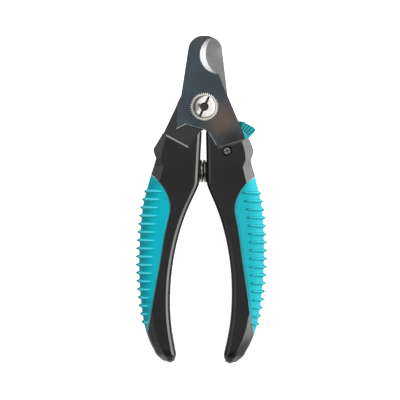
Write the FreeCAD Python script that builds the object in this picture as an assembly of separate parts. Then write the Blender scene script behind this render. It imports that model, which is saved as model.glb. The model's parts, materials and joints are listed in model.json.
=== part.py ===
import FreeCAD, Part
import math
import os

# Nail clipper for pets, of the scissor type, closed and lying on the flat backs of its handles.
#
# Millimetres. +Z is up, away from the resting plane, and +Y runs towards the blade tips. The origin is
# at the bottom centre of the whole tool. Every outline below is given about the blades' pivot, as the
# tool would be drawn on paper, and put() moves the finished solid to the origin of the part.
#
# The two halves are one design turned over: each piece of the front half, whose handle is on the right,
# becomes the matching piece of the rear half by half a turn about the line X = 0 in the shear plane.
# The halves open by turning about the pivot, the lever by turning about its own screw.

V = FreeCAD.Vector

# ---- driving dimensions ---------------------------------------------------------------------------
overall_length = 160.0
tip_reach = 34.9            # pivot to blade tips
handle_thickness = 16.0
blade_thickness = 2.5
blade_edge_break = 0.45     # chamfer round the lower side of a blade's head
shear_gap = 0.04            # between the two blades' flat sides
running_clearance = 0.05    # radial, of a turning fit

bolt_radius = 2.5           # plain length of the pivot bolt
bolt_neck_width = 5.6       # square neck, keyed in the rear blade
bolt_head_radius = 6.0
bolt_head_height = 2.1
thread_radius = 2.1
washer_radius = 6.9
washer_thickness = 1.1
washer_rim_height = 0.7
washer_rim_width = 1.25
washer_teeth = 42
washer_tooth_depth = 0.8
nut_radius = 5.3
nut_height = 2.6
nut_slot_width = 1.2
nut_slot_depth = 1.1
nut_slot_angle = 66.0       # of the driver slot, from +X
bolt_end_recess = 1.4       # of the bolt's end below the nut's top

facet_width = 5.0           # slanting band along the outer edges of a handle
facet_slope = 0.7           # drop of that band per width
facet_softness = 2.6        # radius of its two edges, sharper on the collar
collar_softness = 0.7
collar_chamfer = 0.8        # along the collar's top wall
inner_bevels = ((1.2, 0.75), (1.0, 1.3))    # across and down, from a face towards the gap
facing_allowance = 0.1      # a handle is lofted this much too high, then faced flat on both sides

lever_centre = (11.5, -21.4)
lever_thickness = 2.8
lever_gap = 0.2             # above the lever in its slot
lever_washer_thickness = 0.2
lever_hub_radius = 4.6
lever_nose_reach = 10.2
screw_radius = 1.25
screw_head_radius = 1.95
screw_head_height = 1.5
screw_recess_radius = 2.55
screw_seat = 12.9           # height of the shoulder under the screw's head
insert_radius = 2.2
insert_low = 1.4
tab_low = 2.4               # back of the lever's finger tab

spring_y = -31.3
spring_radius = 5.05        # to the middle of the wire
wire_radius = 0.62
spring_half_length = 6.4
spring_turns = 9.5
cup_radius = 6.1
cup_depth = 7.9             # from the tool's middle plane to the bottom of a cup
post_radius = 3.4
post_inner_x = 4.2

cap_y = -118.0              # from here a handle rounds off to its end

rib_count = 17
rib_pitch = 4.0
first_rib_y = -41.6
rib_height = 1.85
rib_half_width = 1.45
grip_skin = 3.2

# ---- heights worked out from them ------------------------------------------------------------------
pivot_y = overall_length / 2 - tip_reach
shear_z = handle_thickness / 2
blade_low = shear_z + shear_gap / 2
blade_high = blade_low + blade_thickness
rear_blade_back = 2 * shear_z - blade_high
washer_low = blade_high + running_clearance
washer_top = washer_low + washer_thickness
nut_top = washer_top + nut_height
lever_high = shear_z - lever_gap
lever_low = lever_high - lever_thickness
slot_low = lever_low - lever_washer_thickness - running_clearance

# ---- outlines about the pivot ----------------------------------------------------------------------
head_corner = (-13.3, -11.0)            # free lower corner of a blade's head
notch_edge = ((3.0, 34.3), (0.3, 25.6), (7.1, 15.9))    # cutting edge: tip, middle, heel
notch_bevel = ((1.9, 33.9), (-2.6, 25.6), (6.1, 16.2))  # where its ground bevel meets the front face
# a collar's top: inner corner, start, middle and end of its outer round, where its side meets the outline
right_collar_top = ((6.6, -20.1), (20.9, -15.3), (22.2, -15.5), (23.1, -16.6), (26.0, -16.8))
left_collar_top = ((6.5, -19.9), (18.8, -13.6), (20.0, -13.4), (20.5, -14.3), (24.6, -21.3))
gap_kink = (1.9, -37.5)
inner_line = [gap_kink, (4.4, -43.6), (8.2, -52.5), (11.7, -64.2), (13.9, -76.0), (15.0, -88.0),
              (14.95, -98.0), (14.1, -108.4), (11.9, -120.0)]
outer_line = [(17.6, -124.3), (22.1, -119.8), (26.1, -111.5), (28.6, -100.0), (30.2, -84.0),
              (30.4, -68.0), (29.2, -50.0), (27.1, -39.8)]
grip_line = [(27.0, -32.6), (21.7, -36.4), (17.4, -42.0), (15.3, -49.0), (17.3, -60.3), (19.45, -74.4),
             (21.85, -88.3), (23.8, -100.6), (26.8, -114.0)]


def at(point, z=0.0):
    return V(point[0], point[1], z)


def polar(centre, radius, degrees):
    turn = math.radians(degrees)
    return (centre[0] + radius * math.cos(turn), centre[1] + radius * math.sin(turn))


def curve(points):
    """A smooth edge through the points."""
    spline = Part.BSplineCurve()
    spline.interpolate([at(point) for point in points])
    return spline.toShape()


def closed_wire(start, *steps):
    """A closed wire from start: a step is a point, ("arc", middle, end) or ("curve", points)."""
    edges = []
    here = start
    for step in steps:
        if step[0] == "arc":
            edges.append(Part.Arc(at(here), at(step[1]), at(step[2])).toShape())
            here = step[2]
        elif step[0] == "curve":
            edges.append(curve([here] + step[1]))
            here = step[1][-1]
        else:
            edges.append(Part.LineSegment(at(here), at(step)).toShape())
            here = step
    if here != start:
        edges.append(Part.LineSegment(at(here), at(start)).toShape())
    return Part.Wire(edges)


def prism(wire, low, high):
    solid = Part.Face(wire).extrude(V(0, 0, high - low))
    solid.translate(V(0, 0, low))
    return solid


def round_bar(centre, radius, low, high):
    return Part.makeCylinder(radius, high - low, at(centre, low))


def cross_bar(radius, start_x, end_x):
    """A cylinder on the spring's axis, which runs along X."""
    start = V(start_x, spring_y, shear_z)
    return Part.makeCylinder(radius, end_x - start_x, start, V(1, 0, 0))


def turned_over(shape):
    """The matching piece of the other half."""
    copy = shape.copy()
    copy.rotate(V(0, 0, shear_z), V(0, 1, 0), 180)
    return copy


def put(shape, name):
    """Writes one sub-part, moved from the pivot to the origin of the part."""
    solids = [solid.copy() for solid in shape.Solids]
    placed = solids[0] if len(solids) == 1 else Part.makeCompound(solids)
    placed.translate(V(0, pivot_y, 0))
    placed.exportStep("parts/" + name + ".step")
    box = placed.optimalBoundingBox(False)
    print("%-18s solids %d volume %9.1f valid %s box %.1f %.1f %.1f .. %.1f %.1f %.1f" % (
        name, len(solids), placed.Volume, placed.isValid(),
        box.XMin, box.YMin, box.ZMin, box.XMax, box.YMax, box.ZMax))


def flat_edges(solid, height, wanted):
    """The edges that lie at one height and whose middle point is wanted."""
    chosen = []
    for edge in solid.Edges:
        box = edge.BoundBox
        middle = edge.valueAt((edge.FirstParameter + edge.LastParameter) / 2)
        if abs(box.ZMin - height) < 1e-4 and abs(box.ZMax - height) < 1e-4 and wanted(middle):
            chosen.append(edge)
    return chosen


# ---- blades ----------------------------------------------------------------------------------------
def notch_cutter():
    """What the ground bevel takes away: a slanting wall from the edge up to the blade's front."""
    far = 30.0

    def section(share):
        """The wall's arc at this share of the blade's thickness."""
        top, middle, bottom = [(e[0] + (b[0] - e[0]) * share, e[1] + (b[1] - e[1]) * share)
                               for e, b in zip(notch_edge, notch_bevel)]
        wire = closed_wire(top, ("arc", middle, bottom), (far, bottom[1]), (far, top[1]))
        wire.translate(V(0, 0, blade_low + share * blade_thickness))
        return wire

    return Part.makeLoft([section(-0.1), section(1.1)], True, True)


def blade_blank():
    """The front blade with its tang, before the pivot hole."""
    wire = closed_wire(
        (-2.0, tip_reach), ("arc", (-6.2, 32.9), (-8.3, 28.6)),
        (-11.4, 5.5), (-13.3, 1.6), head_corner, (-8.9, -8.65), (-1.6, -10.6), (0.9, -11.3),
        (2.2, -13.2), (6.8, -20.6), (9.6, -25.0), (9.8, -48.0), (14.0, -48.0), (19.0, -24.0),
        (20.2, -15.0), (19.5, -12.5), (11.4, 5.5), (10.0, 8.1), (7.0, 15.6), (2.9, 34.3), (2.0, tip_reach))
    blade = prism(wire, blade_low, blade_high)
    lower_edges = flat_edges(blade, blade_high, lambda p: p.x < 6 and -19 < p.y < -8)
    blade = blade.makeChamfer(blade_edge_break, lower_edges)
    blade = blade.cut(notch_cutter())
    anchor_hole = round_bar((12.5, -41.0), 1.7, blade_low, blade_high)
    screw_hole = round_bar(lever_centre, screw_radius, blade_low, blade_high)
    return blade.cut(anchor_hole).cut(screw_hole)


def front_blade():
    return blade_blank().cut(round_bar((0, 0), bolt_radius + running_clearance, blade_low, blade_high))


def square_bar(width, low, high):
    return Part.makeBox(width, width, high - low, V(-width / 2, -width / 2, low))


def rear_blade():
    return turned_over(blade_blank()).cut(square_bar(bolt_neck_width, rear_blade_back, shear_z))


# ---- pivot -----------------------------------------------------------------------------------------
def pivot_bolt():
    neck_top = shear_z - shear_gap / 2
    head = round_bar((0, 0), bolt_head_radius, rear_blade_back - bolt_head_height, rear_blade_back)
    rim = flat_edges(head, rear_blade_back - bolt_head_height, lambda p: True)
    bolt = head.makeFillet(bolt_head_height * 0.6, rim)
    bolt = bolt.fuse(square_bar(bolt_neck_width, rear_blade_back, neck_top))
    bolt = bolt.fuse(round_bar((0, 0), bolt_radius, neck_top, washer_low))
    bolt_end = nut_top - bolt_end_recess
    threaded = round_bar((0, 0), thread_radius, washer_low, bolt_end)
    end = flat_edges(threaded, bolt_end, lambda p: True)
    return bolt.fuse(threaded.makeChamfer(0.4, end)).removeSplitter()


def knurled_washer():
    """A dished disc with a toothed rim."""
    step = 360.0 / washer_teeth
    points = []
    for tooth in range(washer_teeth):
        points.append(polar((0, 0), washer_radius, tooth * step))
        points.append(polar((0, 0), washer_radius - washer_tooth_depth, (tooth + 0.5) * step))
    rim_top = washer_top + washer_rim_height
    disc = prism(closed_wire(points[0], *points[1:]), washer_low, rim_top)
    dish_radius = washer_radius - washer_rim_width
    disc = disc.cut(round_bar((0, 0), dish_radius, washer_top, rim_top))
    lead_in = Part.makeCone(washer_radius + 0.6, washer_radius - 0.6, 1.2, V(0, 0, rim_top - 0.9))
    body = round_bar((0, 0), washer_radius + 0.1, washer_low, rim_top - 0.9)
    return disc.common(body.fuse(lead_in)).cut(round_bar((0, 0), thread_radius, washer_low, washer_top))


def pivot_nut():
    nut = round_bar((0, 0), nut_radius, washer_top, nut_top)
    nut = nut.makeFillet(1.0, flat_edges(nut, nut_top, lambda p: True))
    slot = Part.makeBox(3 * nut_radius, nut_slot_width, nut_slot_depth,
                        V(-1.5 * nut_radius, -nut_slot_width / 2, nut_top - nut_slot_depth))
    slot.rotate(V(0, 0, 0), V(0, 0, 1), nut_slot_angle)
    return nut.cut(slot).cut(round_bar((0, 0), thread_radius, washer_top, nut_top))


# ---- handles ---------------------------------------------------------------------------------------
def x_on(line, y):
    """X of a smooth line through the points at this Y, as a cubic between neighbours."""
    points = sorted(line, key=lambda point: point[1])
    last = len(points) - 1
    index = 0
    while index < last - 1 and y > points[index + 1][1]:
        index += 1
    (x0, y0), (x1, y1) = points[index], points[index + 1]

    def slope(i):
        low, high = max(i - 1, 0), min(i + 1, last)
        return (points[high][0] - points[low][0]) / (points[high][1] - points[low][1])

    span = y1 - y0
    t = (y - y0) / span
    return ((1 + 2 * t) * (1 - t) ** 2 * x0 + t * t * (3 - 2 * t) * x1
            + span * (t * (1 - t) ** 2 * slope(index) - t * t * (1 - t) * slope(index + 1)))


def section_wire(y, corners):
    """A closed wire at this Y through corners of X, Z and radius, where 0 leaves a corner sharp."""
    points = [V(x, y, z) for x, z, radius in corners]
    bends = []
    for index, (x, z, radius) in enumerate(corners):
        here = points[index]
        back = (points[index - 1] - here).normalize()
        ahead = (points[(index + 1) % len(points)] - here).normalize()
        half_angle = back.getAngle(ahead) / 2
        reach = radius / math.tan(half_angle)
        inward = (back + ahead).normalize() * (radius / math.sin(half_angle) - radius)
        bends.append((here + back * reach, here + inward, here + ahead * reach))
    edges = []
    for corner, bend, following in zip(corners, bends, bends[1:] + bends[:1]):
        if corner[2] > 0:
            edges.append(Part.Arc(*bend).toShape())
        edges.append(Part.LineSegment(bend[2], following[0]).toShape())
    return Part.Wire(edges)


def handle_section(y, inner, outer, half_height, facet, softness, size=1.0):
    """The right handle's section: leaning inner wall, flat faces, slanting bands along the outer side."""
    low, high = shear_z - half_height, shear_z + half_height
    facet *= size
    drop = facet * facet_slope
    (upper_width, upper_drop), (lower_width, lower_drop) = inner_bevels
    bevelled = [(inner + (upper_width + lower_width) * size, 0.0),
                (inner + lower_width * size, upper_drop * size),
                (inner, (upper_drop + lower_drop) * size)]
    soft = softness * size
    return section_wire(y, [
        (outer, low + drop, soft), (outer, high - drop, soft), (outer - facet, high, soft),
        *[(x, high - down, 0) for x, down in bevelled],
        *[(x, low + down, 0) for x, down in reversed(bevelled)],
        (outer - facet, low, soft)])


def handle_solid(collar_top):
    """The right handle and its collar as one bar, before it is parted into core and grip."""
    half = handle_thickness / 2 + facing_allowance
    kink_y = gap_kink[1]
    sections = []
    for y, inner, outer, face_edge in ((-10.0, 0.95, 20.2, 16.2), (-20.2, 1.3, 24.3, 19.6),
                                       (-22.2, 1.4, 24.4, 20.1), (-25.6, 1.5, 23.1, 20.4),
                                       (-29.2, 1.6, 24.1, 19.1),
                                       (kink_y, gap_kink[0], x_on(outer_line, kink_y), 21.2)):
        sections.append(handle_section(y, inner, outer, half, outer - face_edge, collar_softness))
    collar = Part.makeLoft(sections, True, True)
    stations = [kink_y, -43.0, -50.0, -60.0, -72.0, -84.0, -95.0, -105.0, -113.0, cap_y]
    sections = [handle_section(y, x_on(inner_line, y), x_on(outer_line, y), half,
                               facet_width, facet_softness) for y in stations]
    arm = Part.makeLoft(sections, True, False)
    far = 40.0
    slab = Part.makeBox(far, 2 * overall_length, handle_thickness, V(0, -overall_length, 0))
    inner_corner, outer_corner, round_middle, round_end, side_end = collar_top
    above_collar = closed_wire((-1.0, -5.0), (-1.0, -12.2), (2.0, -12.2), (5.9, -18.6), inner_corner,
                               outer_corner, ("arc", round_middle, round_end), side_end,
                               (far, side_end[1]), (far, -5.0))
    handle = collar.fuse(arm).fuse(end_cap()).common(slab)
    handle = handle.cut(prism(above_collar, -1, handle_thickness + 1))
    return handle.cut(collar_chamfers(inner_corner, outer_corner))


def collar_chamfers(start, end):
    """Wedges that break the two long edges of the collar's top wall."""
    line = at(end) - at(start)
    along = V(line).normalize()
    into = V(along.y, -along.x, 0) * collar_chamfer
    wedges = []
    for height, side in ((handle_thickness, -1), (0.0, 1)):
        corner = at(start, height) + along * collar_chamfer
        down = V(0, 0, side * collar_chamfer)
        outside = corner - into - down
        triangle = Part.makePolygon([outside, corner + into, corner + down, outside])
        wedges.append(Part.Face(triangle).extrude(along * (line.Length + 1)))
    return wedges[0].fuse(wedges[1])


def end_cap():
    """The rounded end of a handle, from its last full section to its lowest point."""
    reach = overall_length - tip_reach + cap_y
    start_inner, start_outer = x_on(inner_line, cap_y), x_on(outer_line, cap_y)
    start_centre = 17.0
    sections = []
    for share in (0.0, 0.35, 0.6, 0.8, 0.92, 0.985, 1.0):
        bulge = math.sqrt(max(1 - share ** 2, 0.05))
        centre = start_centre - 2.4 * share
        sections.append(handle_section(cap_y - reach * share,
                                       centre - (start_centre - start_inner) * bulge,
                                       centre + (start_outer - start_centre) * bulge,
                                       (handle_thickness / 2 + facing_allowance) * (0.35 + 0.65 * bulge),
                                       facet_width, facet_softness, bulge))
    return Part.makeLoft(sections, True, False)


def grip_region():
    far = 45.0
    wire = closed_wire(grip_line[0], ("curve", grip_line[1:]),
                       (far, grip_line[-1][1]), (far, grip_line[0][1]))
    return prism(wire, -1, handle_thickness + 1)


def tongue():
    """The web of the core inside the soft grip."""
    spine = [(x - grip_skin, y) for x, y in outer_line if -105 < y < -45]
    wire = closed_wire(spine[0], ("curve", spine[1:]), (16.0, -48.0), (16.0, -60.0), (22.0, -98.0))
    return prism(wire, grip_skin + 1, handle_thickness - grip_skin - 1)


def spring_pocket():
    pocket = cross_bar(cup_radius, 0.0, cup_depth)
    return pocket.cut(cross_bar(post_radius, post_inner_x, cup_depth))


def plain_core(collar_top):
    core = handle_solid(collar_top).cut(grip_region()).fuse(tongue())
    return core.cut(blade_blank()).cut(spring_pocket())


def lever_slot():
    """Room for the lever between the tang and the back wall of the right handle."""
    sweep = closed_wire((16.4, -22.8), (22.4, -15.6), (26.0, -11.2), (26.0, -5.0), (7.4, -5.0),
                        (7.4, -19.0), lever_centre)
    slot = prism(sweep, slot_low, blade_low)
    return slot.fuse(round_bar(lever_centre, lever_hub_radius + 0.4, slot_low, blade_low))


def right_handle_core():
    core = plain_core(right_collar_top).cut(lever_slot())
    core = core.cut(round_bar(lever_centre, screw_radius, blade_low, screw_seat))
    core = core.cut(round_bar(lever_centre, screw_recess_radius, screw_seat, handle_thickness + 1))
    return core.cut(round_bar(lever_centre, insert_radius, insert_low, slot_low))


def left_handle_core():
    return turned_over(plain_core(left_collar_top))


def grip_rib(index):
    """One rib across the outer side of the grip, with a rounded crest."""
    y = first_rib_y - index * rib_pitch
    base = x_on(outer_line, y)
    share = index / (rib_count - 1)
    height = rib_height * (0.45 + 0.55 * math.sin(math.pi * (0.12 + 0.76 * share)))
    root = base - 1.0
    crest = 0.3
    shoulder = base + height - crest
    wire = closed_wire((root, y + rib_half_width), (root, y - rib_half_width),
                       (shoulder, y - crest), ("arc", (base + height, y), (shoulder, y + crest)))
    end = facet_width * facet_slope
    return prism(wire, end, handle_thickness - end)


def right_grip():
    grip = handle_solid(right_collar_top).common(grip_region()).cut(tongue())
    for index in range(rib_count):
        grip = grip.fuse(grip_rib(index).cut(tongue()))
    return grip


def left_grip():
    return turned_over(right_grip())


# ---- lock lever ------------------------------------------------------------------------------------
def lock_lever():
    """A flat lever on the lever screw, drawn released: a nose that catches the rear blade's free corner
    once the lever is turned about 18 degrees towards the blades, and a finger tab."""
    def reach(radius, degrees):
        return polar(lever_centre, radius, degrees)

    tab_end = [reach(16.7, 63.7), reach(16.9, 53.2), reach(17.7, 43.1), reach(17.7, 37.5)]
    plate = closed_wire(reach(lever_hub_radius, 110), reach(lever_nose_reach, 76),
                        reach(lever_nose_reach, 64), reach(lever_nose_reach + 0.7, 60), *tab_end,
                        reach(15.8, 35.5), reach(12.0, 31.0), reach(lever_hub_radius, -10),
                        ("arc", reach(lever_hub_radius, 230), reach(lever_hub_radius, 110)))
    tab = closed_wire(*tab_end, (24.2, -12.4), (18.8, -14.4))
    wing = closed_wire(reach(16.0, 70.5), *tab_end, (24.2, -12.4), (18.8, -14.4), (16.4, -13.0))
    lever = prism(plate, lever_low, lever_high).fuse(prism(tab, tab_low, lever_high))
    lever = lever.fuse(prism(wing, tab_low, rear_blade_back - lever_gap))
    groove_width, groove_depth = 0.8, 0.7
    for degrees in (39, 44.5, 50, 55.5, 61):
        groove = Part.makeBox(8.0, groove_width, groove_depth,
                              V(12.8, -groove_width / 2, lever_high - groove_depth))
        groove.rotate(V(0, 0, 0), V(0, 0, 1), degrees)
        groove.translate(at(lever_centre))
        lever = lever.cut(groove)
    return lever.cut(round_bar(lever_centre, screw_radius + running_clearance, tab_low, lever_high))


def lever_screw():
    head_top = screw_seat + screw_head_height
    head = round_bar(lever_centre, screw_head_radius, screw_seat, head_top)
    head = head.makeFillet(0.6, flat_edges(head, head_top, lambda p: True))
    cross_length, cross_width, cross_depth = 2.6, 0.55, 0.8
    for degrees in (20, 110):
        bar = Part.makeBox(cross_length, cross_width, 2 * cross_depth,
                           V(-cross_length / 2, -cross_width / 2, head_top - cross_depth))
        bar.rotate(V(0, 0, 0), V(0, 0, 1), degrees)
        bar.translate(at(lever_centre))
        head = head.cut(bar)
    return head.fuse(round_bar(lever_centre, screw_radius, insert_low + 0.4, screw_seat))


def lever_insert():
    outside = round_bar(lever_centre, insert_radius, insert_low, slot_low)
    return outside.cut(round_bar(lever_centre, screw_radius, insert_low + 0.4, slot_low))


def lever_washer():
    ring = round_bar(lever_centre, 3.4, slot_low, slot_low + lever_washer_thickness)
    return ring.cut(round_bar(lever_centre, screw_radius, slot_low, slot_low + lever_washer_thickness))


# ---- return spring ---------------------------------------------------------------------------------
def wire_section(turn):
    """The spring wire's section, a polygon, after this many turns from the left end."""
    sides = 10
    around = 2 * math.pi * turn
    radial = V(0, math.cos(around), math.sin(around))
    pitch = 2 * spring_half_length / spring_turns
    middle = V(turn * pitch - spring_half_length, spring_y, shear_z) + radial * spring_radius
    corners = []
    for side in range(sides):
        angle = 2 * math.pi * side / sides
        offset = radial * math.cos(angle) + V(math.sin(angle), 0, 0)
        corners.append(middle + offset * wire_radius)
    return Part.makePolygon(corners + corners[:1])


def return_spring():
    """The shut coil, from the bottom of one pocket to the bottom of the other."""
    steps_per_turn = 16
    steps = round(spring_turns * steps_per_turn)
    return Part.makeLoft([wire_section(step / steps_per_turn) for step in range(steps + 1)], True, True)


pieces = (front_blade, rear_blade, pivot_bolt, knurled_washer, pivot_nut, right_handle_core,
          left_handle_core, right_grip, left_grip, lock_lever, lever_screw, lever_insert, lever_washer,
          return_spring)

os.makedirs("parts", exist_ok=True)
for piece in pieces:
    put(piece(), piece.__name__)
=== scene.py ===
"""The looks of the scissor nail clipper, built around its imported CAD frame. Metres, as in the frame."""

import json
import math

import bmesh
import bpy
from mathutils import Matrix, Vector


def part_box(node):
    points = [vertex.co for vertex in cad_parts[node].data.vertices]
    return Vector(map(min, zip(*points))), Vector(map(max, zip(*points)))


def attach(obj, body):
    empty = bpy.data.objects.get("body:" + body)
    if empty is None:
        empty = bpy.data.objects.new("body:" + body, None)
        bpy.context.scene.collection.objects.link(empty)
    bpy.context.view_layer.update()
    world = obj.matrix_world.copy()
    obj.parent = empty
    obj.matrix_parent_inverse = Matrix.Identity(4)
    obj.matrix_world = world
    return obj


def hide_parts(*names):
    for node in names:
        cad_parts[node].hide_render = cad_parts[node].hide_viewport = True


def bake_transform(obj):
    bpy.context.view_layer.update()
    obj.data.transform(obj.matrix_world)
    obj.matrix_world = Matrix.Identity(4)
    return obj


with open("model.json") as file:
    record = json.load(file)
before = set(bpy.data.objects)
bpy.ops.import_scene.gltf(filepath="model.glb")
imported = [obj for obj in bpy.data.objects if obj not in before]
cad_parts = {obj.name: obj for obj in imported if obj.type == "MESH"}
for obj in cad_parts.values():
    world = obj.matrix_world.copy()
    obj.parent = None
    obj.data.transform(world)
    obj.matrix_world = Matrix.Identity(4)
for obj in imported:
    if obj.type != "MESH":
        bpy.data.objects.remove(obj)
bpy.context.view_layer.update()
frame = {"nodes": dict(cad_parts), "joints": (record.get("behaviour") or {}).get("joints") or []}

MM = 0.001

# ---- places read from the frame --------------------------------------------------------------------
joints = {joint["name"]: joint for joint in frame["joints"]}
pivot = Vector(joints["blade_pivot"]["pos_m"])
back_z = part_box("left_handle_core")[0].z
front_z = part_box("left_handle_core")[1].z
middle_z = (back_z + front_z) / 2
nut_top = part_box("pivot_nut")[1].z
nut_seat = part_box("pivot_nut")[0].z
rib_tip_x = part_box("right_grip")[1].x
screw_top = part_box("lever_screw")[1].z

# ---- shape of the soft grips, millimetres about the pivot -------------------------------------------
# The right handle's outer side, and the edge of its grip on the front.
OUTER_LINE = [(17.6, -124.3), (22.1, -119.8), (26.1, -111.5), (28.6, -100.0), (30.2, -84.0),
              (30.4, -68.0), (29.2, -50.0), (27.1, -39.8), (23.1, -25.6)]
GRIP_LINE = [(27.0, -32.6), (21.7, -36.4), (17.4, -42.0), (15.3, -49.0), (17.3, -60.3), (19.45, -74.4),
             (21.85, -88.3), (23.8, -100.6), (26.8, -114.0)]
END_WIDTH = 0.12            # of the grip at its two ends
ABOVE_GRIP = -33.0          # the search for the two ends starts at these
BELOW_GRIP = -113.0
SEARCH_STEP = 0.01

RIB_COUNT = 17
RIB_PITCH = 4.0
FIRST_RIB_Y = -41.6
RIB_HALF_WIDTH = 1.0        # at its foot
RIB_HEIGHT = rib_tip_x / MM - max(x for x, y in OUTER_LINE)
RIBBED_TOP = -34.0          # the ribbed stretch sets in and fades out between these
RIBBED_TOP_FADE = 3.5
RIBBED_BOTTOM = -112.0
RIBBED_BOTTOM_FADE = 7.0
FACET_WIDTH = 5.0           # slanting band of the core, which both ends of the grip run into
FACET_SLOPE = 0.7
ROUND_WIDTH = 7.0           # rounded edges of the ribbed stretch, across and down
ROUND_DROP = 3.6
RIDGE_HEIGHT = 0.35         # thin ridges that run from the ribs over both faces
RIDGE_HALF_WIDTH = 0.85
RIDGE_LENGTH = 8.8          # of the first one
RIM_DROP = 0.2              # rounding of the edge beside the core

STATION_STEP = 0.2          # mesh sections along the grip
FACE_STEPS = 34             # mesh steps across a face
SIDE_STEPS = 5              # and down half of the outer side

# ---- shape of the return spring, millimetres ---------------------------------------------------------
WIRE_RADIUS = 0.62
SPRING_TURNS = 9.5
TURN_CROWDING = 0.3 / math.pi       # how much closer the turns lie towards the two ends
STEPS_PER_TURN = 56
WIRE_SIDES = 14


# ---- mesh helpers ----------------------------------------------------------------------------------
def smooth_step(value):
    """0 below 0, 1 above 1 and a smooth rise between them."""
    value = min(max(value, 0.0), 1.0)
    return value * value * (3 - 2 * value)


def x_on(line, y):
    """X of a smooth line through the points at this Y, as a cubic between neighbours."""
    points = sorted(line, key=lambda point: point[1])
    last = len(points) - 1
    index = 0
    while index < last - 1 and y > points[index + 1][1]:
        index += 1
    (x0, y0), (x1, y1) = points[index], points[index + 1]

    def slope(i):
        low, high = max(i - 1, 0), min(i + 1, last)
        return (points[high][0] - points[low][0]) / (points[high][1] - points[low][1])

    span = y1 - y0
    t = (y - y0) / span
    return ((1 + 2 * t) * (1 - t) ** 2 * x0 + t * t * (3 - 2 * t) * x1
            + span * (t * (1 - t) ** 2 * slope(index) - t * t * (1 - t) * slope(index + 1)))


def mesh_from_rings(name, rings):
    """A closed tube of quads through rings of points, with a flat cap at each end."""
    bm = bmesh.new()
    loops = [[bm.verts.new(point) for point in ring] for ring in rings]
    count = len(rings[0])
    for first, second in zip(loops, loops[1:]):
        for i in range(count):
            j = (i + 1) % count
            bm.faces.new((first[i], first[j], second[j], second[i]))
    bm.faces.new(loops[0][::-1])
    bm.faces.new(loops[-1])
    bmesh.ops.recalc_face_normals(bm, faces=bm.faces)
    mesh = bpy.data.meshes.new(name)
    bm.to_mesh(mesh)
    bm.free()
    mesh.polygons.foreach_set("use_smooth", [True] * len(mesh.polygons))
    piece = bpy.data.objects.new(name, mesh)
    bpy.context.scene.collection.objects.link(piece)
    return piece


# ---- soft grips ------------------------------------------------------------------------------------
def nearest_rib(y):
    """The rib nearest to this Y: its distance away and how far along the row it is, from 0 to 1."""
    index = min(max(round((FIRST_RIB_Y - y) / RIB_PITCH), 0), RIB_COUNT - 1)
    return abs(y - (FIRST_RIB_Y - index * RIB_PITCH)), index / (RIB_COUNT - 1)


def rib_share(y):
    """How far out the grip's side is at this Y: 0 in a valley, 1 on the crest of a middle rib."""
    off, along = nearest_rib(y)
    tall = 0.45 + 0.55 * math.sin(math.pi * (0.12 + 0.76 * along))
    ramp = 1 - off / RIB_HALF_WIDTH
    rounded_foot = (ramp + math.sqrt(ramp ** 2 + 0.02)) / 2
    return tall * min(rounded_foot, 1.0)


def ridge_share(y, from_side):
    """How far up a ridge of the face is, 0 to 1. It grows thinner inwards, and the last ones are short."""
    off, along = nearest_rib(y)
    length = RIDGE_LENGTH - 2.0 * along - 4.2 * smooth_step((along - 0.55) / 0.45)
    left = 1 - from_side / length
    if left <= 0:
        return 0.0
    half_width = RIDGE_HALF_WIDTH * (0.5 + 0.9 * left)
    return smooth_step(1.3 * (1 - off / half_width)) * smooth_step(left / 0.25)


def grip_ring(y):
    """The right grip's section at this Y, with each point's shares of ridge, rim and rib tip."""
    inner = x_on(GRIP_LINE, y)
    body_side = x_on(OUTER_LINE, y)
    rib = rib_share(y)
    outer = body_side + RIB_HEIGHT * rib
    half = (front_z - back_z) / 2 / MM
    ribbed = (smooth_step((RIBBED_TOP - y) / RIBBED_TOP_FADE)
              * smooth_step((y - RIBBED_BOTTOM) / RIBBED_BOTTOM_FADE))
    front = []
    for i in range(FACE_STEPS + 1):
        x = inner + (outer - inner) * (1 - (1 - i / FACE_STEPS) ** 1.5)
        facet_drop = FACET_SLOPE * max(FACET_WIDTH - (outer - x), 0.0)
        into_round = max(x - (body_side - ROUND_WIDTH), 0.0) / (ROUND_WIDTH + RIB_HEIGHT * rib)
        round_drop = ROUND_DROP * (1 - math.sqrt(max(1 - into_round ** 2, 0.0)))
        ridge = ridge_share(y, body_side - x) if x < body_side else 1.0 - smooth_step(1 - rib)
        ridge *= ribbed * smooth_step((x - inner) / 1.2)
        rim = smooth_step(1.6 - (x - inner) / 0.9)
        sunk = ribbed * RIDGE_HEIGHT * (1 - ridge) * smooth_step((outer - x) / 1.5)
        height = half - facet_drop * (1 - ribbed) - round_drop * ribbed - sunk - RIM_DROP * rim ** 2
        tip = max(x - body_side, 0.0) / RIB_HEIGHT
        front.append((x, height, (ridge, rim, tip, 1.0)))
    corner_height = front[-1][1]
    for i in range(1, SIDE_STEPS + 1):
        front.append((outer, corner_height * (1 - i / SIDE_STEPS), (rib, 0.0, rib, 1.0)))
    ring = front + [(x, -height, mark) for x, height, mark in reversed(front[:-1])]
    points = [Vector((x * MM, pivot.y + y * MM, middle_z + height * MM)) for x, height, mark in ring]
    return points, [mark for x, height, mark in ring]


def grip_end(y, step):
    """The Y of one end of the grip: the first place, stepping in from outside, where it is wide enough."""
    while x_on(GRIP_LINE, y) > x_on(OUTER_LINE, y) - END_WIDTH:
        y += step
    return y


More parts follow.
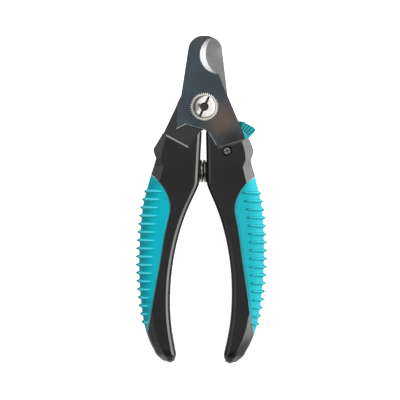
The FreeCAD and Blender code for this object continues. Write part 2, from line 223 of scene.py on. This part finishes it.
def make_grip(name, node, body, turned):
    """A grip through thin sections. The left one is the right one turned over."""
    top = grip_end(ABOVE_GRIP, -SEARCH_STEP)
    bottom = grip_end(BELOW_GRIP, SEARCH_STEP)
    first = math.floor((top - FIRST_RIB_Y) / STATION_STEP)
    last = math.ceil((bottom - FIRST_RIB_Y) / STATION_STEP)
    stations = [top] + [FIRST_RIB_Y + STATION_STEP * i for i in range(first, last, -1)] + [bottom]
    rings = []
    marks = []
    for y in stations:
        points, ring_marks = grip_ring(y)
        rings.append(points)
        marks += ring_marks
    grip = mesh_from_rings(name, rings)
    attribute = grip.data.attributes.new("relief", "FLOAT_COLOR", "POINT")
    attribute.data.foreach_set("color", [part for mark in marks for part in mark])
    if turned:
        centre = Vector((0, 0, middle_z))
        turn = Matrix.Translation(centre) @ Matrix.Rotation(math.pi, 4, "Y") @ Matrix.Translation(-centre)
        grip.data.transform(turn)
    grip.data.materials.append(grip_material)
    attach(grip, body)
    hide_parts(node)


# ---- return spring -----------------------------------------------------------------------------------
def spring_line(share):
    """A point of the wire's centreline, and how far along the spring's axis it is, from 0 to 1."""
    low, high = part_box("return_spring")
    radius = (high.z - low.z) / 2 - WIRE_RADIUS * MM
    half_length = (high.x - low.x) / 2 - WIRE_RADIUS * MM
    along = share - TURN_CROWDING * math.sin(2 * math.pi * share) * (0.5 - abs(share - 0.5))
    angle = 2 * math.pi * SPRING_TURNS * share
    centre = (low + high) / 2
    return Vector((centre.x + half_length * (2 * along - 1),
                   centre.y + radius * math.cos(angle),
                   centre.z + radius * math.sin(angle))), along


def make_spring():
    """The coil, which lies between the two halves of the tool."""
    steps = int(SPRING_TURNS * STEPS_PER_TURN)
    angles = [2 * math.pi * side / WIRE_SIDES for side in range(WIRE_SIDES)]
    axis = Vector((1, 0, 0))
    rings = []
    weights = []
    for i in range(steps + 1):
        share = i / steps
        point, along = spring_line(share)
        ahead = spring_line(min(share + 1e-3, 1.0))[0] - spring_line(max(share - 1e-3, 0.0))[0]
        ahead.normalize()
        across = (axis - ahead * axis.dot(ahead)).normalized()
        third = ahead.cross(across)
        rings.append([point + (across * math.cos(angle) + third * math.sin(angle)) * WIRE_RADIUS * MM
                      for angle in angles])
        weights += [along] * WIRE_SIDES
    spring = mesh_from_rings("spring_coil", rings)
    spring.data.materials.append(spring_material)
    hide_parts("return_spring")
    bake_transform(spring)


# ---- materials ---------------------------------------------------------------------------------------
def soft_range(tree, value, low, high, to_low, to_high):
    """A smooth ramp of a node tree, from one pair of numbers to another."""
    node = tree.nodes.new("ShaderNodeMapRange")
    node.interpolation_type = "SMOOTHSTEP"
    tree.links.new(value, node.inputs["Value"])
    for socket, number in zip(("From Min", "From Max", "To Min", "To Max"), (low, high, to_low, to_high)):
        node.inputs[socket].default_value = number
    return node.outputs[0]


class Shader:
    """A Principled material with short ways to add nodes."""

    def __init__(self, name, **sockets):
        self.material = bpy.data.materials.new(name)
        self.material.use_nodes = True
        self.nodes = self.material.node_tree.nodes
        self.links = self.material.node_tree.links
        self.surface = self.nodes["Principled BSDF"]
        self.coordinates = self.nodes.new("ShaderNodeTexCoord")
        for socket, value in sockets.items():
            self.surface.inputs[socket.replace("_", " ")].default_value = value

    def math(self, operation, first, second=0.0):
        node = self.nodes.new("ShaderNodeMath")
        node.operation = operation
        for socket, value in zip(node.inputs, (first, second)):
            self.feed(socket, value)
        return node.outputs[0]

    def feed(self, socket, value):
        """Links a socket, or sets it to a plain value."""
        if isinstance(value, bpy.types.NodeSocket):
            self.links.new(value, socket)
        else:
            socket.default_value = value

    def axes(self, output="Object"):
        """X, Y and Z of a place in the frame or, with "Normal", of the way the surface faces."""
        node = self.nodes.new("ShaderNodeSeparateXYZ")
        self.links.new(self.coordinates.outputs[output], node.inputs[0])
        return node.outputs

    def noise(self, scale, detail=4.0, roughness=0.55, stretch=(1, 1, 1)):
        """Noise in the frame's space. A small stretch along an axis draws it out along that axis."""
        mapping = self.nodes.new("ShaderNodeMapping")
        mapping.inputs["Scale"].default_value = stretch
        self.links.new(self.coordinates.outputs["Object"], mapping.inputs[0])
        node = self.nodes.new("ShaderNodeTexNoise")
        node.inputs["Scale"].default_value = scale
        node.inputs["Detail"].default_value = detail
        node.inputs["Roughness"].default_value = roughness
        self.links.new(mapping.outputs[0], node.inputs["Vector"])
        return node.outputs["Fac"]

    def range(self, value, low, high, to_low=0.0, to_high=1.0):
        return soft_range(self.material.node_tree, value, low, high, to_low, to_high)

    def near(self, centre, inside, outside):
        """1 near a point and 0 away from it or, with the larger distance first, the other way round."""
        node = self.nodes.new("ShaderNodeVectorMath")
        node.operation = "DISTANCE"
        self.links.new(self.coordinates.outputs["Object"], node.inputs[0])
        node.inputs[1].default_value = centre
        return self.range(node.outputs["Value"], inside, outside, 1.0, 0.0)

    def on_line(self, start, end, inside, outside):
        """1 near a straight line drawn across the front, and 0 away from it."""
        ahead = Vector(end) - Vector(start)
        mapping = self.nodes.new("ShaderNodeMapping")
        mapping.vector_type = "TEXTURE"
        mapping.inputs["Location"].default_value = start
        mapping.inputs["Rotation"].default_value = (0, 0, math.atan2(ahead.y, ahead.x))
        self.links.new(self.coordinates.outputs["Object"], mapping.inputs[0])
        split = self.nodes.new("ShaderNodeSeparateXYZ")
        self.links.new(mapping.outputs[0], split.inputs[0])
        across = self.range(self.math("ABSOLUTE", split.outputs[1]), inside, outside, 1.0, 0.0)
        begun = self.range(split.outputs[0], -outside, 0.0)
        not_ended = self.range(split.outputs[0], ahead.length, ahead.length + outside, 1.0, 0.0)
        return self.math("MULTIPLY", across, self.math("MULTIPLY", begun, not_ended))

    def mix(self, share, first, second):
        """The first colour at share 0 and the second one at share 1."""
        node = self.nodes.new("ShaderNodeMix")
        node.data_type = "RGBA"
        self.feed(node.inputs["Factor"], share)
        colour_sockets = (node.inputs[6], node.inputs[7])
        for socket, value in zip(colour_sockets, (first, second)):
            if not isinstance(value, bpy.types.NodeSocket):
                value = (*value, 1.0)
            self.feed(socket, value)
        return node.outputs[2]

    def bump(self, height, strength, distance):
        node = self.nodes.new("ShaderNodeBump")
        node.inputs["Strength"].default_value = strength
        node.inputs["Distance"].default_value = distance
        self.links.new(height, node.inputs["Height"])
        self.links.new(node.outputs[0], self.surface.inputs["Normal"])

    def finish(self, colour, roughness):
        self.feed(self.surface.inputs["Base Color"], colour)
        self.feed(self.surface.inputs["Roughness"], roughness)
        return self.material


def about_pivot(x, y, z=0.0):
    """A place in the frame, from millimetres about the pivot."""
    return (pivot.x + x * MM, pivot.y + y * MM, middle_z + z * MM)


def make_blade_material(name, flat, patches, painted_highlight_lines=()):
    """Polished blade steel: clouded flats with a fine grain, a bright ground bevel, and painted light on the
    edge chamfers of the tang: a painted highlight where they face down, painted shade where they face
    elsewhere.

    A patch is a centre, an inner and an outer radius and a colour. A painted highlight line is two ends and
    a colour.
    """
    shader = Shader(name, Metallic=1.0)
    grain = shader.noise(1400.0, 3.0, 0.6, (1.0, 0.05, 1.0))
    cloud = shader.noise(70.0, 5.0, 0.65)
    speckle = shader.noise(2400.0, 2.0, 0.7)
    colour = shader.mix(shader.range(cloud, 0.3, 0.7), [c * 0.82 for c in flat], [c * 1.16 for c in flat])
    for centre, inside, outside, patch in patches:
        colour = shader.mix(shader.near(about_pivot(*centre), inside * MM, outside * MM), colour, patch)
    # Thin painted highlights along edges.
    for start, end, tint in painted_highlight_lines:
        line = shader.on_line(about_pivot(*start), about_pivot(*end), 0.15 * MM, 0.38 * MM)
        colour = shader.mix(line, colour, tint)
    colour = shader.mix(shader.range(speckle, 0.45, 0.75, 0.0, 0.12), colour, (0.5, 0.5, 0.5))
    normal = shader.axes("Normal")
    upright = shader.math("ABSOLUTE", normal[2])
    slanted = shader.math("MULTIPLY", shader.range(upright, 0.985, 0.94), shader.range(upright, 0.05, 0.3))
    height = shader.axes()[1]
    blade_part = shader.range(height, pivot.y, pivot.y + 5 * MM)
    facing_down = shader.range(normal[1], -0.45, -0.6)
    lines = shader.noise(2600.0, 2.0, 0.5, (0.12, 1.0, 1.0))
    # Painted light on the tang's edge chamfers: a painted highlight where they face down, painted shade
    # where they face elsewhere.
    painted_edge_light = shader.mix(facing_down, (0.2, 0.2, 0.2), (0.95, 0.95, 0.95))
    heel = shader.range(height, pivot.y + 21 * MM, pivot.y + 15 * MM)
    ground = shader.mix(heel, (0.34, 0.34, 0.35), (0.23, 0.235, 0.24))
    ground = shader.mix(shader.range(lines, 0.5, 0.7, 0.0, 0.2), ground, (0.2, 0.205, 0.21))
    colour = shader.mix(slanted, colour, shader.mix(blade_part, painted_edge_light, ground))
    colour = shader.mix(shader.range(upright, 0.3, 0.05), colour, (0.16, 0.16, 0.16))
    plain_rough = shader.range(grain, 0.3, 0.8, 0.24, 0.34)
    rough = shader.math("ADD", plain_rough, shader.math("MULTIPLY", slanted, 0.3))
    shader.bump(grain, 0.06, 0.00002)
    return shader.finish(colour, rough)


def make_plated_material(name, tint, shade, shaded_below, roughness, metallic, painted_shade_spots=()):
    """Nickel plate, with painted shade below a height and in painted shade spots. On the bolt the colour
    below the height is a lighter one.

    A spot is a centre, two radii and a colour. It lies within the radii or, if the first is larger, beyond.
    """
    shader = Shader(name, Metallic=metallic)
    cloud = shader.noise(420.0, 4.0)
    scratch = shader.noise(1800.0, 2.0, 0.6, (1.0, 0.15, 1.0))
    bright = shader.mix(shader.range(cloud, 0.35, 0.7), tint, [c * 0.88 for c in tint])
    # Painted shade spots.
    for centre, inside, outside, spot_shade in painted_shade_spots:
        bright = shader.mix(shader.near(about_pivot(*centre), inside * MM, outside * MM), bright, spot_shade)
    # Painted shade below the height; on the bolt a lighter colour.
    low = shader.range(shader.axes()[2], shaded_below - 0.25 * MM, shaded_below + 0.1 * MM, 1.0, 0.0)
    colour = shader.mix(low, bright, shade)
    rough = shader.range(scratch, 0.35, 0.75, roughness, roughness + 0.16)
    shader.bump(scratch, 0.15, 0.00002)
    return shader.finish(colour, rough)


def make_black_plastic():
    """Satin moulded plastic with a fine spark-eroded texture."""
    shader = Shader("black_plastic", Specular_IOR_Level=0.5)
    spark = shader.noise(4200.0, 3.0, 0.6)
    cloud = shader.noise(60.0, 4.0)
    colour = shader.mix(shader.range(cloud, 0.3, 0.75), (0.0045, 0.0045, 0.005), (0.0085, 0.0083, 0.009))
    rough = shader.math("ADD", shader.range(cloud, 0.3, 0.7, 0.0, 0.06), 0.26)
    shader.bump(spark, 0.2, 0.00003)
    return shader.finish(colour, rough)


def make_grip_rubber():
    """Soft teal rubber in painted light from the right: painted highlights on the ridge crests, more on the
    left grip, and painted shade beside the ridges, more on the right grip, on the rib tips and down the
    steep sides, more on the left. It is paler along its rim.

    The grip on the right is painted a little paler, for the light from the right.
    """
    shader = Shader("teal_rubber", Specular_IOR_Level=0.1, Sheen_Weight=0.02, Sheen_Roughness=0.5)
    fine = shader.noise(3200.0, 3.0, 0.6)
    cloud = shader.noise(70.0, 4.0)
    # 0 on the left grip, 1 on the right one, which is painted a little paler for the light from the right.
    lit_right = shader.range(shader.axes()[0], -4 * MM, 4 * MM)
    steep = shader.math("ABSOLUTE", shader.axes("Normal")[0])
    colour = shader.mix(lit_right, (0.0, 0.375, 0.455), (0.012, 0.375, 0.445))
    colour = shader.mix(shader.range(cloud, 0.3, 0.75, 0.0, 0.12), colour, (0.02, 0.45, 0.52))
    relief = shader.nodes.new("ShaderNodeAttribute")    # the marks of grip_ring
    relief.attribute_name = "relief"
    parts = shader.nodes.new("ShaderNodeSeparateColor")
    shader.links.new(relief.outputs["Color"], parts.inputs[0])
    ridge, rim, tip = parts.outputs

    # Weights a painted mark differently on the left and on the right grip, as the light comes from the
    # right.
    def by_side(share, left, right):
        return shader.math("MULTIPLY", share, shader.range(lit_right, 0.0, 1.0, left, right))

    # Painted shade down the steep sides, more on the left grip; painted shade beside the ridges, more on the
    # right grip; painted highlights on the ridge crests, more on the left grip.
    side_shade = by_side(shader.range(steep, 0.1, 0.95), 0.55, 0.3)
    flank_shade = shader.math("MULTIPLY", shader.range(ridge, 0.02, 0.25), shader.range(ridge, 0.85, 0.5))
    crest = shader.math("MULTIPLY", shader.range(ridge, 0.55, 0.95), shader.range(steep, 0.8, 0.4))
    colour = shader.mix(side_shade, colour, (0.0, 0.11, 0.12))
    colour = shader.mix(by_side(flank_shade, 0.3, 1.0), colour, (0.0, 0.16, 0.175))
    colour = shader.mix(by_side(crest, 0.85, 0.12), colour, (0.09, 0.66, 0.76))
    # Painted shade on the rib tips.
    colour = shader.mix(shader.range(tip, 0.05, 0.6, 0.0, 0.85), colour, (0.0, 0.075, 0.08))
    colour = shader.mix(shader.range(rim, 0.3, 0.9, 0.0, 0.6), colour, (0.12, 0.38, 0.41))
    rough = shader.range(fine, 0.3, 0.7, 0.42, 0.52)
    shader.bump(fine, 0.25, 0.00003)
    return shader.finish(colour, rough)


def make_lever_plastic():
    """Teal moulded plastic, a little greyer than the grips, and darker below its top face."""
    shader = Shader("teal_plastic", Specular_IOR_Level=0.25)
    fine = shader.noise(3000.0, 3.0)
    cloud = shader.noise(180.0, 4.0)
    colour = shader.mix(shader.range(cloud, 0.3, 0.7), (0.015, 0.39, 0.41), (0.04, 0.46, 0.47))
    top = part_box("lock_lever")[1].z
    groove = shader.range(shader.axes()[2], top - 0.65 * MM, top - 0.2 * MM, 1.0, 0.0)
    colour = shader.mix(shader.math("MULTIPLY", groove, 0.6), colour, (0.01, 0.2, 0.24))
    rough = shader.math("ADD", shader.range(fine, 0.3, 0.7, 0.0, 0.1), 0.36)
    shader.bump(fine, 0.2, 0.00003)
    return shader.finish(colour, rough)


def make_wire_steel():
    """Oily spring steel, in dark and light clouds."""
    shader = Shader("spring_steel", Metallic=1.0)
    streak = shader.noise(900.0, 4.0, 0.6)
    colour = shader.mix(shader.range(streak, 0.35, 0.7), (0.16, 0.15, 0.13), (0.5, 0.47, 0.42))
    rough = shader.math("ADD", shader.range(streak, 0.3, 0.7, 0.0, 0.12), 0.16)
    shader.bump(streak, 0.2, 0.00003)
    return shader.finish(colour, rough)


def make_brass():
    """Turned brass with fine rings."""
    shader = Shader("brass", Metallic=1.0)
    turned = shader.noise(1500.0, 3.0, 0.6, (0.1, 0.1, 1.0))
    colour = shader.mix(shader.range(turned, 0.35, 0.7), (0.55, 0.36, 0.12), (0.75, 0.55, 0.22))
    shader.bump(turned, 0.2, 0.00003)
    return shader.finish(colour, shader.math("ADD", shader.range(turned, 0.3, 0.7, 0.0, 0.15), 0.25))


def make_floor_material():
    """A lit white table: it glows enough to leave only the softest shadow."""
    shader = Shader("floor", Specular_IOR_Level=0.1, Emission_Color=(1, 1, 1, 1), Emission_Strength=1.0)
    cloud = shader.noise(3.0, 2.0)
    colour = shader.mix(cloud, (0.78, 0.78, 0.78), (0.8, 0.8, 0.8))
    return shader.finish(colour, 0.8)


grip_material = make_grip_rubber()
spring_material = make_wire_steel()
black_plastic = make_black_plastic()
front_steel = make_blade_material(
    "front_blade_steel", (0.10, 0.134, 0.156),
    patches=[((9.0, -6.0), 2.0, 12.5, (0.24, 0.18, 0.15)),
             ((14.0, -17.0), 2.0, 10.0, (0.064, 0.062, 0.054)),
             ((-3.0, 33.0), 1.0, 7.0, (0.16, 0.16, 0.16))],
    # Painted highlights along the tang's left edge and along the right collar's top edge.
    painted_highlight_lines=[((2.55, -12.4), (6.15, -18.2), (0.5, 0.5, 0.5)),
                ((7.6, -19.6), (19.5, -15.6), (0.36, 0.36, 0.35))])
rear_steel = make_blade_material(
    "rear_blade_steel", (0.44, 0.44, 0.44),
    # The first patch is painted shade on the rear blade's tang, beside the front blade.
    patches=[((-14.0, -12.0), 13.0, 22.0, (0.09, 0.09, 0.09)),
             ((8.6, 27.0), 1.0, 4.0, (0.6, 0.6, 0.6))])
# Painted shade in the slot and hole, from 0.6 mm under the top down, and three painted shade spots: in the
# hole left of the bolt's end, over the left of the face, and round the left rim.
nut_plate = make_plated_material(
    "nut_plate", (0.99, 0.97, 0.92), shade=(0.05, 0.045, 0.035), shaded_below=nut_top - 0.6 * MM,
    roughness=0.34, metallic=0.5,
    painted_shade_spots=[((-2.6, 0.6, 6.2), 0.2, 1.9, (0.07, 0.075, 0.05)),
            ((-4.2, -0.8, 6.2), 0.6, 2.6, (0.34, 0.34, 0.27)),
            ((1.4, -0.6, 5.6), 6.2, 5.2, (0.07, 0.07, 0.045))])
# Painted shade on the washer below the nut's seat: its dish and between its teeth.
washer_plate = make_plated_material(
    "washer_plate", (0.98, 0.96, 0.88), shade=(0.04, 0.035, 0.025), shaded_below=nut_seat + 0.05 * MM,
    roughness=0.3, metallic=0.6)
bolt_plate = make_plated_material(
    "bolt_plate", (0.10, 0.09, 0.075), shade=(0.34, 0.32, 0.28), shaded_below=middle_z,
    roughness=0.28, metallic=0.9)
# Painted shade in the screw's cross recess, from 0.45 mm under its top down.
screw_plate = make_plated_material(
    "screw_plate", (0.50, 0.50, 0.48), shade=(0.06, 0.06, 0.06), shaded_below=screw_top - 0.45 * MM,
    roughness=0.3, metallic=0.9)

node_materials = {
    "front_blade": front_steel, "rear_blade": rear_steel, "pivot_bolt": bolt_plate,
    "knurled_washer": washer_plate, "pivot_nut": nut_plate, "right_handle_core": black_plastic,
    "left_handle_core": black_plastic, "right_grip": grip_material, "left_grip": grip_material,
    "lock_lever": make_lever_plastic(), "lever_screw": screw_plate, "lever_insert": make_brass(),
    "lever_washer": spring_material, "return_spring": spring_material}


def dress_frame():
    """Gives every CAD node its material, in its own slot."""
    for name, node in frame["nodes"].items():
        node.data.materials.clear()
        node.data.materials.append(node_materials[name])


# ---- stage -------------------------------------------------------------------------------------------
def make_floor():
    gap = 0.2 * MM
    bpy.ops.mesh.primitive_plane_add(size=6.0, location=(0, 0, back_z - gap))
    floor = bpy.context.object
    floor.name = "floor"
    floor.data.materials.append(make_floor_material())


def add_light(name, place, size, power, colour):
    """A rectangular lamp that faces the middle of the tool."""
    data = bpy.data.lights.new(name, "AREA")
    data.shape = "RECTANGLE"
    data.size, data.size_y = size
    data.energy = power
    data.color = colour
    light = bpy.data.objects.new(name, data)
    light.location = place
    light.rotation_euler = (Vector((0, 0, 0)) - Vector(place)).to_track_quat("-Z", "Y").to_euler()
    bpy.context.scene.collection.objects.link(light)


def make_lights():
    """A broad key light on the right, and a room that is dimmer overhead and beyond the handles' ends."""
    add_light("key_right", (0.82, 0.06, 0.42), (1.0, 0.6), 13.0, (1.0, 0.99, 0.97))
    add_light("strip_above", (0.36, 0.76, 0.10), (0.5, 0.22), 4.0, (1.0, 1.0, 1.0))
    add_light("fill_left", (-0.75, 0.15, 0.40), (0.5, 0.6), 0.3, (0.97, 0.99, 1.0))
    world = bpy.data.worlds.new("studio")
    bpy.context.scene.world = world
    world.use_nodes = True
    tree = world.node_tree
    coordinates = tree.nodes.new("ShaderNodeTexCoord")
    split = tree.nodes.new("ShaderNodeSeparateXYZ")
    tree.links.new(coordinates.outputs["Generated"], split.inputs[0])
    dim = tree.nodes.new("ShaderNodeMath")
    dim.operation = "MULTIPLY"
    tree.links.new(soft_range(tree, split.outputs[1], -0.5, -0.1, 1.0, 0.0), dim.inputs[0])
    tree.links.new(soft_range(tree, split.outputs[2], 0.1, 0.3, 0.0, 0.6), dim.inputs[1])
    strength = tree.nodes.new("ShaderNodeMath")
    strength.operation = "SUBTRACT"
    tree.links.new(soft_range(tree, split.outputs[2], 0.45, 0.98, 1.0, 0.5), strength.inputs[0])
    tree.links.new(dim.outputs[0], strength.inputs[1])
    tree.links.new(strength.outputs[0], tree.nodes["Background"].inputs["Strength"])
    tree.nodes["Background"].inputs["Color"].default_value = (1, 1, 1, 1)


def make_camera():
    """Straight down on the front, with the tool standing upright and tipped a degree clockwise."""
    view_width = 196.2 * MM
    distance = 0.9
    aim = Vector(about_pivot(-1.3, -45.5))
    camera = bpy.data.objects.new("camera", bpy.data.cameras.new("camera"))
    camera.data.sensor_width = 36.0
    camera.data.lens = camera.data.sensor_width * distance / view_width
    camera.location = aim + Vector((0, 0, distance))
    camera.rotation_euler = (0, 0, math.radians(1.0))
    bpy.context.scene.collection.objects.link(camera)
    bpy.context.scene.camera = camera


make_grip("grip_right", "right_grip", "front_half", turned=False)
make_grip("grip_left", "left_grip", "rear_half", turned=True)
make_spring()
dress_frame()
make_floor()
make_lights()
make_camera()
bpy.context.scene.view_settings.view_transform = "Standard"
